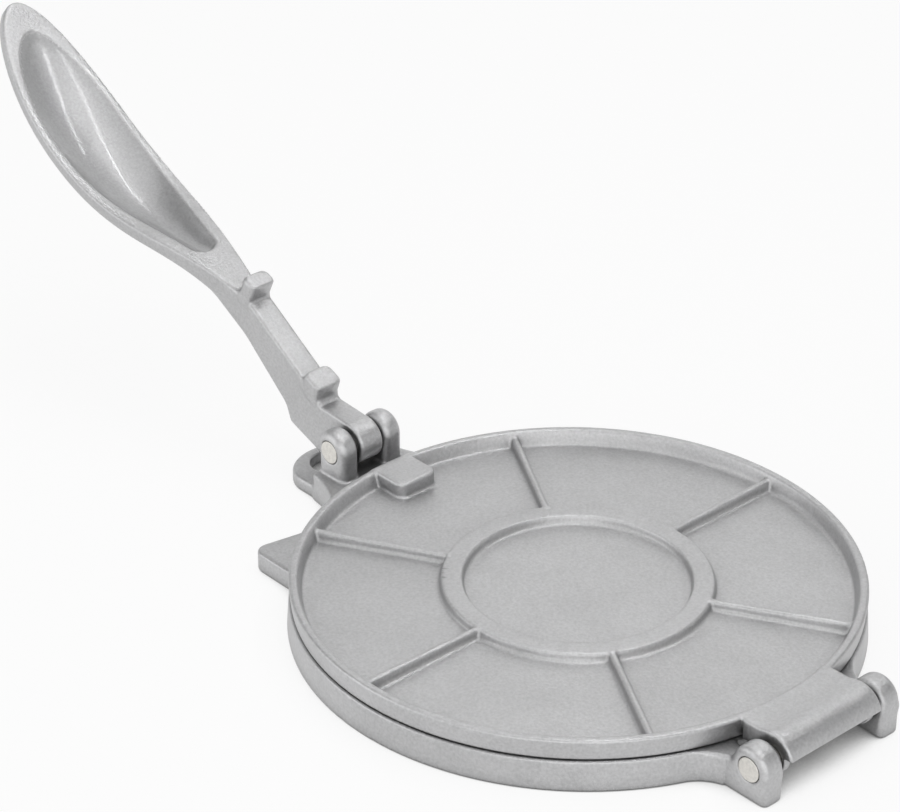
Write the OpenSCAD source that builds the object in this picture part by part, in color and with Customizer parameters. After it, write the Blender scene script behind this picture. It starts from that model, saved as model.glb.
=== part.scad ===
// Hand-operated tortilla press in cast aluminium: a base platen, a hinged top platen and a lever
// that swings over and presses the top platen down.
// Origin: centre of the platens, on the surface that the base stands on.
// +X runs to the lever end, -X to the hinge, +Z is up. Millimetres.

/* [Platens] */
// Diameter of the top platen across its rim
platen_d = 204; // [150:1:260]
// Height of the base casting
base_h = 11.3; // [9:0.1:16]
// Height of the top platen from its pressing face to the top of its rim
lid_h = 7.9; // [6:0.1:12]
// Gap between the two pressing faces when the press is closed
seam_gap = 0.3; // [0.2:0.1:1]
// How far each platen's side wall leans out over its height
wall_draft = 0.8; // [0.2:0.1:2]

/* [Top platen relief] */
// Width of the rim along its top
rim_w = 3.1; // [2:0.1:6]
// Thickness of the plate under the relief
plate_t = 2.5; // [2:0.1:4]
// How far the rim's inner wall leans in
rim_lean = 1.8; // [0.5:0.1:3]
// Outer diameter of the central ring
ring_d = 96.4; // [60:0.5:140]
// Width of the central ring along its top
ring_w = 7.4; // [4:0.1:14]
// How far the ring's top lies below the rim's top
ring_drop = 2.4; // [0.5:0.1:3]
// How far the ring's walls lean
ring_lean = 0.8; // [0.2:0.1:2]
// Number of radial ribs
rib_count = 6; // [3:1:12]
// Width of a rib along its crest
rib_crest = 2.2; // [1:0.1:3]
// Width of a rib at its foot
rib_foot = 3.4; // [3.2:0.1:8]
// Bevel along a rib's crest and foot
rib_bevel = 0.4; // [0.1:0.1:0.4]
// How far a rib rises from the ring to the rim
rib_rise = 0.8; // [0:0.1:1.6]

/* [Pressing lug] */
// Distance from the platen's centre to the lug's inner end
lug_start = 84; // [60:0.5:90]
// Width of the lug
lug_w = 18; // [10:0.5:30]
// Corner radius of the lug
lug_r = 3.5; // [1:0.1:5]
// How far the lug stands above the rim
lug_rise = 0.5; // [0:0.1:2]

/* [Lid hinge] */
// Distance from the platen's edge to the hinge axis
hinge_reach = 11.2; // [10.8:0.1:20]
// Diameter of the hinge pin
hinge_pin_d = 9; // [6:0.1:10]
// Thickness of each hinge ear
hinge_ear_t = 9; // [5:0.5:14]
// Distance between the two hinge ears
hinge_gap = 48; // [36:1:80]
// Radius of a hinge ear round the pin
hinge_ear_r = 8; // [7:0.1:10]
// Radius of the fillet between a hinge ear and the base's edge
hinge_ear_fillet = 9; // [4:0.5:14]
// Outer radius of the hood round the pin
hood_r = 9.4; // [8.5:0.1:10.2]
// Inner radius of the hood between its bosses
hood_inner_r = 6.4; // [5.5:0.1:7]
// Height of the hood's lip above the hinge axis
hood_lip = 1.9; // [1:0.1:4]
// Length of the round boss that closes each end of the hood
boss_len = 3; // [2.5:0.5:10]
// Radius of each boss below the hood's lip
boss_r = 6; // [5.8:0.1:7]
// Side clearance between a boss and its ear
hinge_side_gap = 1.8; // [0.3:0.1:3]

/* [Side tabs] */
// Height of a side tab
tab_h = 7.5; // [4:0.1:9]
// Distance from the centre line to a side tab's outer face
tab_y = 64.7; // [58:0.1:68]
// Distance from the centre to a side tab's far end
tab_x = 104; // [100:0.5:112]
// Corner radius of a side tab
tab_r = 5; // [2:0.5:8]
// Distance from the centre line to where a side tab leaves the base's edge
tab_start_y = 28; // [24:0.5:34]
// Distance from the centre line to the bend in a side tab's far edge
tab_bend_y = 40; // [38:0.5:46]
// How far that bend lies short of the side tab's far end
tab_bend_in = 4.4; // [2:0.1:6]
// Radius of that bend
tab_bend_r = 6; // [2:0.5:10]

/* [Neck and tongue] */
// Distance from the platen's edge to the end of the neck
neck_reach = 23.2; // [18:0.1:30]
// Width of the neck
neck_w = 36; // [34:0.2:60]
// Radius of the fillet between the neck and the base's edge
neck_fillet = 38; // [10:1:40]
// Thickness of the tongue
tongue_t = 5.1; // [3:0.1:7]
// Distance from the neck's end to the tongue's end
tongue_len = 22.4; // [21:0.2:40]
// Width of the tongue
tongue_w = 35; // [24:0.5:37]
// Length of the tongue's rounded end
tongue_round = 15; // [10:0.5:18]
// Diameter of the hole through the tongue
tongue_hole_d = 17; // [4:0.1:18]
// Distance from the neck's end to the centre of the tongue's hole
tongue_hole_x = 9.4; // [9:0.1:11]

/* [Lever pivot] */
// Distance from the neck's end back to the lever pin
pivot_back = 6.8; // [5:0.1:8]
// Height of the lever pin above the neck
pivot_rise = 10.5; // [9.5:0.1:14]
// Diameter of the lever pin
lever_pin_d = 9; // [5:0.1:10]
// Thickness of each clevis ear
clevis_ear_t = 8.9; // [5:0.1:12]
// Radius of a clevis ear round the pin
clevis_ear_r = 8.1; // [6.5:0.1:9]
// Side clearance between the lever and each clevis ear
lever_side_gap = 0.9; // [0.3:0.05:1]
// Clearance between the lever's heel and the neck's end, its stop when it is open
heel_gap = 0.4; // [0.3:0.1:1]

/* [Lever arm] */
// Width of the arm and hub
arm_w = 10.6; // [8:0.1:16]
// Radius of the hub
hub_r = 8; // [7:0.1:9]
// Slope of the arm's top when the lever is open
arm_slope = 32.7; // [25:0.1:40]
// Slope of the tops of the two pressing blocks when the lever is open
block_slope = 22.7; // [18:0.1:30]
// Distance along the arm from the pivot to the lug block
lug_block_s = 22.3; // [20:0.1:26]
// Length of the lug block's top
lug_block_len = 10; // [6:0.1:14]
// Height of the lug block above the arm
lug_block_h = 5.4; // [3:0.1:8]
// Width of the lug block
lug_block_w = 12.4; // [11:0.1:18]
// How far the lug block's front leans over its foot
lug_block_lean = 3; // [0.5:0.1:4]
// Distance along the arm from the pivot to the ring block
ring_block_s = 69.4; // [60:0.1:80]
// Length of the ring block's top
ring_block_len = 7.8; // [5:0.1:12]
// Height of the ring block above the arm
ring_block_h = 8.2; // [4:0.1:12]
// Width of the ring block
ring_block_w = 11.6; // [11:0.1:18]
// How far the ring block's front leans over its foot
ring_block_lean = 1; // [0.5:0.1:3]
// How far each block's back leans over its foot
block_back = 1.1; // [0.5:0.1:2]
// How deep each block's foot lies in the arm
block_foot = 4; // [2:0.1:5]
// Corner radius of each block, seen from above
block_r = 3.4; // [1:0.1:3.6]
// How far the rounded plan of a block reaches past its top at each end
block_ahead = 0.4; // [0.2:0.1:1]
// Depth of the heel's corner below the pivot
heel_drop = 5.2; // [3:0.1:8]
// Distance from the pivot to the heel's corner
heel_reach = 35; // [30:0.1:40]
// Slope of the heel's flat
heel_slope = 20; // [10:0.5:24]
// Radius of the heel's corner
heel_r = 3; // [1:0.5:3.5]
// How far beyond its corner the heel's back turns up to the arm
heel_back_x = 2.6; // [2:0.1:3.2]
// Height of that turn above the pivot
heel_back_z = 1.6; // [1:0.1:2.4]
// Radius of that turn
heel_back_r = 8; // [4:0.5:8.5]
// Clearance between the heel's toe and the neck's top
toe_gap = 0.6; // [0.4:0.1:1]
// Distance from the pivot to the front of the hub's crown
crown_x = 16.4; // [15:0.1:18]
// How far the crown stands above the hub
crown_rise = 1; // [0.6:0.1:1.4]
// Distance along the arm from the pivot to where its top turns straight
arm_top_s = 34; // [33.5:0.1:38]
// How far the arm's top lies below the line that its blocks are measured from
arm_top_drop = 0.2; // [0.1:0.1:0.8]
// Distance along the arm from the pivot to the waist of its underside
waist_s = 63.5; // [60:0.1:66]
// Depth of the arm at its waist
waist_depth = 14.8; // [13:0.1:16]
// Radius of the underside's curve at the waist
waist_r = 30; // [15:1:34]
// Distance along the arm from the pivot to the tip of the keel under the grip
keel_s = 102; // [98:0.5:106]
// Depth of the keel's tip
keel_depth = 17; // [15:0.5:18]
// Radius of the keel's tip
keel_r = 2; // [0.5:0.5:3]
// Distance from the ring block to where the keel's upper edge starts
keel_step_s = 8; // [6:0.5:10]
// Depth of that start
keel_step_depth = 7; // [6:0.5:8]

/* [Grip] */
// Distance from the ring block's front to the start of the grip's top line
grip_start_s = 5.2; // [4:0.1:7]
// How far that start lies below the arm's top
grip_start_drop = 2.3; // [1.5:0.1:3]
// Straight distance from the start of the grip to its tip
grip_reach = 165.6; // [120:0.1:200]
// Slope of the line from the grip's start to its tip
grip_slope = 26.5; // [20:0.1:35]
// Slope of the grip where it leaves the arm
grip_start_slope = 24.6; // [15:0.1:35]
// Slope of the grip at its tip
grip_tip_slope = 46.5; // [35:0.1:55]
// How far the slope at its start carries along the grip
grip_start_pull = 0.32; // [0.2:0.01:0.4]
// How far the slope at its tip carries back along the grip
grip_tip_pull = 0.624; // [0.4:0.002:0.66]
// Greatest width of the grip
grip_w = 41; // [28:0.5:50]
// Where along the grip it is widest
grip_widest = 0.7; // [0.55:0.01:0.8]
// Depth of the grip's side wall
grip_wall = 5; // [3:0.1:8]
// How much deeper the side wall is where the grip leaves the arm
grip_root_wall = 4.5; // [2:0.1:6]
// Where along the grip that extra depth has run out
grip_root_end = 0.35; // [0.25:0.01:0.45]
// Depth of the grip's belly below its side wall
grip_belly = 3.6; // [2:0.1:6]
// How far the grip's outer edge falls below its border
grip_edge = 0.4; // [0.2:0.1:1]
// Width of the grip's border beside the scoop at its widest
scoop_border = 3.3; // [1.5:0.1:5]
// Depth of the scoop
scoop_depth = 5.4; // [2:0.1:5.6]
// How gently the scoop's sides fall: 1 falls as an ellipse does and 2 as a parabola does
scoop_side_fall = 1.8; // [1:0.1:2]
// Width of the scoop near its start
scoop_start_w = 12; // [8:0.5:14]
// Share of the grip over which the scoop's start rounds off
scoop_ease = 0.035; // [0.02:0.005:0.06]
// How far beyond the grip's widest place the scoop is widest
scoop_shift = 0.045; // [0.02:0.005:0.06]
// Where along the grip the scoop starts
scoop_start = 0.18; // [0.1:0.01:0.3]
// Where along the grip the scoop ends
scoop_end = 0.952; // [0.9:0.002:0.97]

/* [Fits] */
// Radial running clearance round a pin
pin_clear = 0.05; // [0.01:0.01:0.1]
// Chamfer at the mouth of each pressed pin's hole
pin_chamfer = 0.6; // [0.2:0.1:1]

/* [Underside] */
// Width of the wall left round the base's underside
skirt_w = 6; // [4:0.5:12]
// Depth of the hollows in the base's underside
hollow_depth = 5.4; // [2:0.1:6.5]
// How far the hollows' walls lean
hollow_lean = 1; // [0.2:0.1:2]
// Radius of the foot pad at the middle of the underside
pad_r = 14; // [8:0.5:24]
// Width of the ribs under the base
under_rib_w = 4; // [2:0.1:8]
// How far the ribs under the base stay above the ground
under_rib_lift = 0.6; // [0:0.1:2]

/* [Hidden] */
$fn = 96;
eps = 0.02;
// How far a form reaches into the one that it stands on, and a cutter past what it cuts
root = 1;

// Platens
platen_r = platen_d / 2;
base_foot_r = platen_r + wall_draft;
lid_face_r = platen_r - wall_draft;
lid_z = base_h + seam_gap;
rim_top = lid_z + lid_h;
relief_z = lid_z + plate_t;
ring_top = rim_top - ring_drop;
ring_r = ring_d / 2;
relief_top_r = platen_r - rim_w;
relief_foot_r = relief_top_r - rim_lean;

// Hinge
hinge_x = -(platen_r + hinge_reach);
hinge_z = base_h;
hinge_pin_r = hinge_pin_d / 2;
hinge_ear_y = hinge_gap / 2;
hinge_out_y = hinge_ear_y + hinge_ear_t;
hood_half = hinge_ear_y - hinge_side_gap;
boss_y = hood_half - boss_len;

// Neck, tongue and lever pivot
neck_end = platen_r + neck_reach;
tongue_end = neck_end + tongue_len;
pivot = [neck_end - pivot_back, base_h + pivot_rise];
lever_pin_r = lever_pin_d / 2;
clevis_y = arm_w / 2 + lever_side_gap;
clevis_out_y = clevis_y + clevis_ear_t;

// Plain helpers -------------------------------------------------------------------------------

function unit(v) = v / norm(v);
function turned(v, a) = [v[0] * cos(a) - v[1] * sin(a), v[0] * sin(a) + v[1] * cos(a)];
function wrap(a) = a > 180 ? a - 360 : (a < -180 ? a + 360 : a);

// The arc that rounds the corner p between its neighbours a and b
function corner_arc(a, p, b, r, n) =
    r == 0 ? [p] :
    let (u = unit(a - p),
         v = unit(b - p),
         half = acos(u * v) / 2,
         c = p + unit(u + v) * r / sin(half),
         from = p + u * r / tan(half) - c,
         to = p + v * r / tan(half) - c,
         start = atan2(from[1], from[0]),
         sweep = wrap(atan2(to[1], to[0]) - start))
    [for (i = [0:n]) c + r * [cos(start + sweep * i / n), sin(start + sweep * i / n)]];

// A closed outline whose corners are [x, y, radius]
function rounded(pts, n = 6) =
    let (m = len(pts))
    [for (i = [0:m - 1])
        let (p = pts[i],
             a = pts[(i + m - 1) % m],
             b = pts[(i + 1) % m])
        each corner_arc([a[0], a[1]], [p[0], p[1]], [b[0], b[1]], p[2], n)];

// Both sides of the centre plane
module both_sides() {
    children();
    mirror([0, 1, 0]) children();
}

// A plate in the XZ plane: its 2D outline stands up and reaches from y0 to y1
module standing(y0, y1) {
    translate([0, y1, 0]) rotate([90, 0, 0]) linear_extrude(y1 - y0) children();
}

// A round bar along Y
module bar_y(x, z, r, y0, y1) {
    translate([x, y0, z]) rotate([-90, 0, 0]) cylinder(r = r, h = y1 - y0);
}

// Fills the inner corner between the base's round edge and a straight side at y, beyond the edge
// at -X when dir is -1 and at +X when dir is 1
module edge_fillet(y, r, dir, h) {
    c = [dir * sqrt(pow(platen_r + r, 2) - pow(y + r, 2)), y + r];
    on_edge = c * platen_r / norm(c);
    linear_extrude(h) difference() {
        polygon([[c[0], y - 1], [c[0], y], c, on_edge, on_edge * 0.96]);
        translate(c) circle(r);
    }
}

// Base platen ---------------------------------------------------------------------------------

// Hollows under the base, between its skirt, centre pad, ring and ribs
module under_hollow() {
    difference() {
        rotate_extrude() polygon([
            [pad_r, -root],
            [base_foot_r - skirt_w, -root],
            [base_foot_r - skirt_w - hollow_lean, hollow_depth],
            [pad_r + hollow_lean, hollow_depth]
        ]);
        translate([0, 0, under_rib_lift]) {
            difference() {
                cylinder(r = ring_r, h = base_h);
                translate([0, 0, -root]) cylinder(r = ring_r - under_rib_w, h = base_h + 2 * root);
            }
            for (i = [0:rib_count - 1])
                rotate(rib_angle(i)) translate([0, -under_rib_w / 2, 0])
                    cube([platen_r, under_rib_w, base_h]);
        }
    }
}

function rib_angle(i) = (i + 0.5) * 360 / rib_count;

// One hinge ear with the arm that carries it out from the disc
module hinge_ear() {
    translate([hinge_x - hinge_ear_r, hinge_ear_y, 0])
        cube([hinge_ear_r - hinge_x, hinge_ear_t, base_h]);
    bar_y(hinge_x, hinge_z, hinge_ear_r, hinge_ear_y, hinge_out_y);
    edge_fillet(hinge_out_y, hinge_ear_fillet, -1, base_h);
}

// One low tab beside the base
module side_tab() {
    on_edge = sqrt(pow(platen_r, 2) - pow(tab_start_y, 2));
    linear_extrude(tab_h) polygon(rounded([
        [0, tab_start_y, 0],
        [on_edge - root, tab_start_y, 0],
        [tab_x - tab_bend_in, tab_bend_y, tab_bend_r],
        [tab_x, tab_y, tab_r],
        [0, tab_y, 0]
    ]));
}

// The full-height neck that carries the lever
module neck() {
    intersection() {
        translate([0, -platen_r, 0]) cube([neck_end, 2 * platen_r, base_h]);
        union() {
            translate([0, -neck_w / 2, 0]) cube([neck_end, neck_w, base_h]);
            both_sides() edge_fillet(neck_w / 2, neck_fillet, 1, base_h);
        }
    }
}

// The thin tongue beyond the neck, with its rounded end
module tongue() {
    straight = tongue_len - tongue_round;
    translate([platen_r, -tongue_w / 2, 0]) cube([neck_reach + straight, tongue_w, tongue_t]);
    translate([neck_end + straight, 0, 0]) linear_extrude(tongue_t) polygon([
        for (a = [-90:6:90]) [tongue_round * cos(a), tongue_w / 2 * sin(a)]
    ]);
}

// One clevis ear on the neck
module clevis_ear() {
    bar_y(pivot[0], pivot[1], clevis_ear_r, clevis_y, clevis_out_y);
    translate([pivot[0] - clevis_ear_r, clevis_y, base_h - root])
        cube([pivot_back + clevis_ear_r, clevis_ear_t, pivot_rise + root]);
}

// Hole for a pressed pin along Y, with a chamfered mouth at each outer face
module pin_hole(x, z, r, y) {
    bar_y(x, z, r, -y - root, y + root);
    both_sides() translate([x, y - pin_chamfer, z]) rotate([-90, 0, 0])
        cylinder(r1 = r, r2 = r + 2 * pin_chamfer, h = 2 * pin_chamfer);
}

module base_platen() {
    color("silver") difference() {
        union() {
            cylinder(r1 = base_foot_r, r2 = platen_r, h = base_h);
            both_sides() hinge_ear();
            both_sides() side_tab();
            neck();
            tongue();
            both_sides() clevis_ear();
        }
        under_hollow();
        pin_hole(hinge_x, hinge_z, hinge_pin_r, hinge_out_y);
        pin_hole(pivot[0], pivot[1], lever_pin_r, clevis_out_y);
        translate([neck_end + tongue_hole_x, 0, -root])
            cylinder(d = tongue_hole_d, h = tongue_t + 2 * root);
    }
}

// Top platen ----------------------------------------------------------------------------------

// The round plate with its raised rim
module lid_plate() {
    difference() {
        translate([0, 0, lid_z]) cylinder(r1 = lid_face_r, r2 = platen_r, h = lid_h);
        rotate_extrude() polygon([
            [0, relief_z],
            [relief_foot_r, relief_z],
            [relief_top_r, rim_top],
            [relief_top_r, rim_top + root],
            [0, rim_top + root]
        ]);
    }
}

// The raised ring in the middle
module lid_ring() {
    rotate_extrude() polygon([
        [ring_r - ring_w - ring_lean, relief_z - root],
        [ring_r + ring_lean, relief_z - root],
        [ring_r, ring_top],
        [ring_r - ring_w, ring_top]
    ]);
}

// One radial rib from the ring to the rim
module lid_rib() {
    start = ring_r - ring_w / 2;
    run = relief_top_r - start + root;
    height = ring_top - relief_z;
    half = rib_crest / 2;
    foot = rib_foot / 2;
    rise = atan(rib_rise / run);
    intersection() {
        translate([start, 0, relief_z]) rotate([0, -rise, 0])
            rotate([90, 0, 90]) linear_extrude(run) polygon([
                [-foot, -plate_t / 2],
                [foot, -plate_t / 2],
                [foot - rib_bevel / 2, rib_bevel],
                [half, height - rib_bevel],
                [half - rib_bevel, height],
                [rib_bevel - half, height],
                [-half, height - rib_bevel],
                [rib_bevel / 2 - foot, rib_bevel]
            ]);
        translate([0, 0, lid_z + plate_t / 4]) cylinder(r = relief_top_r + root, h = lid_h);
    }
}

// The lug that the lever presses on
module lid_lug() {
    height = rim_top + lug_rise - relief_z + root;
    end_x = platen_r - rim_w / 2;
    translate([0, 0, relief_z - root]) {
        both_sides() translate([lug_start + lug_r, lug_w / 2 - lug_r, 0])
            cylinder(r = lug_r, h = height);
        translate([lug_start, lug_r - lug_w / 2, 0])
            cube([end_x - lug_start, lug_w - 2 * lug_r, height]);
        translate([lug_start + lug_r, -lug_w / 2, 0])
            cube([end_x - lug_start - lug_r, lug_w, height]);
    }
}

// The web from the rim to the hinge, and the hood over the pin
module lid_hinge() {
    translate([hinge_x, -hood_half, lid_z])
        cube([hinge_reach + rim_w, 2 * hood_half, lid_h]);
    bar_y(hinge_x, hinge_z, hood_r, -hood_half, hood_half);
}

// What the hood leaves open round the pin, between its bosses
module hood_hollow() {
    reach = hood_r + root;
    half = hood_half + root;
    bar_y(hinge_x, hinge_z, hood_inner_r, -boss_y, boss_y);
    difference() {
        union() {
            translate([hinge_x - reach, -half, hinge_z - reach])
                cube([reach, 2 * half, reach + hood_lip]);
            translate([hinge_x - eps, -half, hinge_z - reach])
                cube([reach, 2 * half, reach + seam_gap]);
        }
        both_sides() bar_y(hinge_x, hinge_z, boss_r, boss_y, half);
    }
}

module top_platen() {
    color("silver") difference() {
        union() {
            lid_plate();
            lid_ring();
            for (i = [0:rib_count - 1]) rotate(rib_angle(i)) lid_rib();
            lid_lug();
            lid_hinge();
        }
        hood_hollow();
        bar_y(hinge_x, hinge_z, hinge_pin_r + pin_clear, -hood_half - root, hood_half + root);
    }
}

// Lever ---------------------------------------------------------------------------------------
// The lever is drawn in the XZ plane with its pivot at the origin, in its open position.

// A point at distance s along the arm's top and height n above it
function on_arm(s, n) = turned([s, n], arm_slope);
function xyr(p, r) = [p[0], p[1], r];

// The end of a block's top, from the end nearest the pivot
function block_top_end(s, n, run) = on_arm(s, n) + turned([run, 0], block_slope);

heel_corner = [heel_reach, -heel_drop];
heel_face_x = pivot_back + heel_gap;
heel_low = [heel_face_x, -heel_drop - (heel_reach - heel_face_x) * tan(heel_slope)];
arm_edge_r = crown_rise * 0.8;
ring_block_end = ring_block_s + ring_block_len;

// Side outline of the hub, the arm and the heel
function arm_outline() = rounded([
    [0, hub_r, 0],
    [crown_x, hub_r + crown_rise, arm_edge_r],
    xyr(on_arm(arm_top_s, -arm_top_drop), arm_edge_r),
    xyr(on_arm(ring_block_s + ring_block_len / 2, -arm_top_drop), 0),
    xyr(on_arm(ring_block_end + keel_step_s, -keel_step_depth), 0),
    xyr(on_arm(keel_s, -keel_depth), keel_r),
    xyr(on_arm(waist_s, -waist_depth), waist_r),
    [heel_reach + heel_back_x, heel_back_z, heel_back_r],
    xyr(heel_corner, heel_r),
    xyr(heel_low, root),
    [heel_face_x, toe_gap - pivot_rise, root],
    [-root, heel_gap - hub_r, 0],
    [-root, 0, 0]
]);

// A raised block on the arm: its front leans over its foot, and its corners are round from above
module arm_block(s, n, run, w, lean) {
    top = on_arm(s, n);
    intersection() {
        standing(-w / 2, w / 2) polygon(rounded([
            xyr(on_arm(s - lean, -block_foot), 0),
            xyr(top, root),
            xyr(block_top_end(s, n, run), root),
            xyr(on_arm(s + run + block_back, -block_foot), 0)
        ]));
        translate([top[0], 0, top[1]]) rotate([0, -block_slope, 0])
            translate([-block_ahead, 0, -3 * n])
                rounded_prism(run + 2 * block_ahead, w, block_r, 4 * n);
    }
}

// An upright prism on a rounded rectangle, from x = 0
module rounded_prism(len_x, w, r, h) {
    for (x = [r, len_x - r])
        both_sides() translate([x, w / 2 - r, 0]) cylinder(r = r, h = h);
    translate([0, r - w / 2, 0]) cube([len_x, w - 2 * r, h]);
    translate([r, -w / 2, 0]) cube([len_x - 2 * r, w, h]);
}

// The top line of the grip is one cubic curve
grip_p0 = on_arm(ring_block_s + grip_start_s, -grip_start_drop);
grip_p3 = grip_p0 + turned([grip_reach, 0], grip_slope);
grip_p1 = grip_p0 + turned([grip_reach * grip_start_pull, 0], grip_start_slope);
grip_p2 = grip_p3 - turned([grip_reach * grip_tip_pull, 0], grip_tip_slope);

function grip_point(t) =
    pow(1 - t, 3) * grip_p0 + 3 * pow(1 - t, 2) * t * grip_p1
    + 3 * (1 - t) * t * t * grip_p2 + pow(t, 3) * grip_p3;
function grip_heading(t) = unit(
    pow(1 - t, 2) * (grip_p1 - grip_p0) + 2 * (1 - t) * t * (grip_p2 - grip_p1)
    + t * t * (grip_p3 - grip_p2));

// A half width that swells from w0 to w1 at t1 and closes round at t2
function swell(t, w0, w1, t0, t1, t2, flare, tip) =
    t < t1 ? w0 + (w1 - w0) * pow(sin(90 * max(0, t - t0) / (t1 - t0)), flare)
           : w1 * sqrt(max(0, 1 - pow((t - t1) / (t2 - t1), tip)));

// How quickly a width swells, and how bluntly it closes: 2 closes as an ellipse does
grip_flare = 1.1;
grip_blunt = 2.6;
scoop_flare = 1.4;
scoop_blunt = 2.3;
scoop_widest = grip_widest + scoop_shift;

function grip_half(t) =
    swell(t, arm_w / 2 - arm_top_drop, grip_w / 2, 0, grip_widest, 1, grip_flare, grip_blunt);
function scoop_half(t) =
    let (ease = min(1, max(0, t - scoop_start) / scoop_ease),
         w0 = scoop_start_w / 2,
         w1 = grip_w / 2 - scoop_border)
    swell(t, w0, w1, scoop_start, scoop_widest, scoop_end, scoop_flare, scoop_blunt)
    * sqrt(1 - pow(1 - ease, 2));
function in_scoop(t) = t > scoop_start && t < scoop_end;

// The scoop falls away steeply at both ends and is nearly level between them
function scoop_sink(t) =
    let (share = (t - scoop_start) / (scoop_end - scoop_start))
    in_scoop(t) ? scoop_depth * pow(sin(180 * pow(share, 0.9)), 0.4) : scoop_least_depth;

// The wall is deeper where the grip leaves the arm
function wall_depth(t) = grip_wall + grip_root_wall * pow(max(0, 1 - t / grip_root_end), 2);
function belly_depth(t) = grip_belly * sqrt(max(0.02, 1 - pow(t, 6)));

scoop_steps = 8;
belly_steps = 6;
scoop_least = 0.3;
scoop_least_depth = grip_edge / 4;
wall_least = 2 * grip_edge;
foot_share = 0.96;

// One cross-section of the grip, as points [across, up]
function grip_section(t) =
    let (w = grip_half(t),
         s = max(in_scoop(t) ? scoop_half(t) : 0, scoop_least * w),
         wall = min(wall_depth(t), max(wall_least, w)),
         foot = w * foot_share)
    concat(
        [[-w, -grip_edge]],
        [for (k = [0:scoop_steps]) let (a = 180 * k / scoop_steps)
            [-s * cos(a), -scoop_sink(t) * pow(sin(a), scoop_side_fall)]],
        [[w, -grip_edge]],
        [for (k = [0:belly_steps]) let (a = 180 * k / belly_steps)
            [foot * cos(a), -wall - belly_depth(t) * sin(a)]]
    );

// Places along the grip, closer together where the outline turns quickly. None is the very tip,
// where a cross-section would have no width.
neck_steps = 5;
middle_steps = 24;
tip_steps = 5;
scoop_span = scoop_end - scoop_start;
grip_steps =
    concat(
        [for (i = [0:neck_steps - 1]) scoop_start * i / neck_steps],
        [for (i = [0:middle_steps - 1])
            scoop_start + scoop_span * (1 - cos(180 * (i + 0.35) / (middle_steps - 0.3))) / 2],
        [for (i = [1:tip_steps]) scoop_end + (1 - scoop_end) * sin(90 * i / (tip_steps + 0.5))]
    );

module grip() {
    rings = [for (t = grip_steps)
        let (p = grip_point(t), d = grip_heading(t))
        [for (q = grip_section(t)) [p[0] - d[1] * q[1], q[0], p[1] + d[0] * q[1]]]];
    m = len(rings[0]);
    n = len(rings);
    polyhedron(
        points = [for (ring = rings) each ring],
        faces = concat(
            [[for (k = [m - 1:-1:0]) k]],
            [[for (k = [0:m - 1]) (n - 1) * m + k]],
            [for (i = [0:n - 2]) for (k = [0:m - 1])
                let (a = i * m + k, b = i * m + (k + 1) % m)
                each [[a, b + m, a + m], [a, b, b + m]]]
        )
    );
}

module lever() {
    color("silver") translate([pivot[0], 0, pivot[1]]) difference() {
        union() {
            bar_y(0, 0, hub_r, -arm_w / 2, arm_w / 2);
            standing(-arm_w / 2, arm_w / 2) polygon(arm_outline());
            arm_block(lug_block_s, lug_block_h, lug_block_len, lug_block_w, lug_block_lean);
            arm_block(ring_block_s, ring_block_h, ring_block_len, ring_block_w, ring_block_lean);
            grip();
        }
        bar_y(0, 0, lever_pin_r + pin_clear, -arm_w, arm_w);
    }
}

// Pins ----------------------------------------------------------------------------------------

// A straight pin along Y, with its ends flush with the faces at y and slightly chamfered
module pin(x, z, r, y) {
    edge = pin_chamfer / 2;
    translate([x, 0, z]) rotate([90, 0, 0]) rotate_extrude() polygon([
        [0, -y],
        [r - edge, -y],
        [r, edge - y],
        [r, y - edge],
        [r - edge, y],
        [0, y]
    ]);
}

module hinge_pin() {
    color("gainsboro") pin(hinge_x, hinge_z, hinge_pin_r, hinge_out_y);
}

module lever_pin() {
    color("gainsboro") pin(pivot[0], pivot[1], lever_pin_r, clevis_out_y);
}

base_platen();
top_platen();
lever();
hinge_pin();
lever_pin();
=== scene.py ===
"""The looks of the tortilla press: three rounded aluminium castings and two pins, on a pale floor.

Each casting is a signed distance field, worked out from named sizes in millimetres, in which convex
edges are rounded and inner corners filled as a sand casting's are. Its surface is then meshed.
"""

import math

import bpy
import numpy as np
import openvdb as vdb
from mathutils import Matrix, Vector


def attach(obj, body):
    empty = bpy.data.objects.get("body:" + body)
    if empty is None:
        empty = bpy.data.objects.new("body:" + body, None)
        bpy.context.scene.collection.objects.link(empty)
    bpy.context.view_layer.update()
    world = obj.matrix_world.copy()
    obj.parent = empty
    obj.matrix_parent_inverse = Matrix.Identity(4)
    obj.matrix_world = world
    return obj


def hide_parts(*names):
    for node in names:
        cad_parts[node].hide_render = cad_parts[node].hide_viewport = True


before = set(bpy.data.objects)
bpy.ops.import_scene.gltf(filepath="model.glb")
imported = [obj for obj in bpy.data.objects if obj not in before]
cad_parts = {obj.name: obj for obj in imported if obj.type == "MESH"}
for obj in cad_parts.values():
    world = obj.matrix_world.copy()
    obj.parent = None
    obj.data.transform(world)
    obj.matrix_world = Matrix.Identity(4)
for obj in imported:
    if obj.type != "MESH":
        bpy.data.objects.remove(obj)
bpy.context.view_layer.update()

MM = 0.001
FAR = 50.0

# The photograph's camera
FRAME = (900, 812)
FOCAL_PIXELS = 3041.86
AZIMUTH, ELEVATION = 228.014, 29.631
DISTANCE = 1.080447
ORIGIN_PIXEL = (576.79, 617.10)

# Sizes of the press, in millimetres, as the CAD model has them -------------------------------

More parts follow.
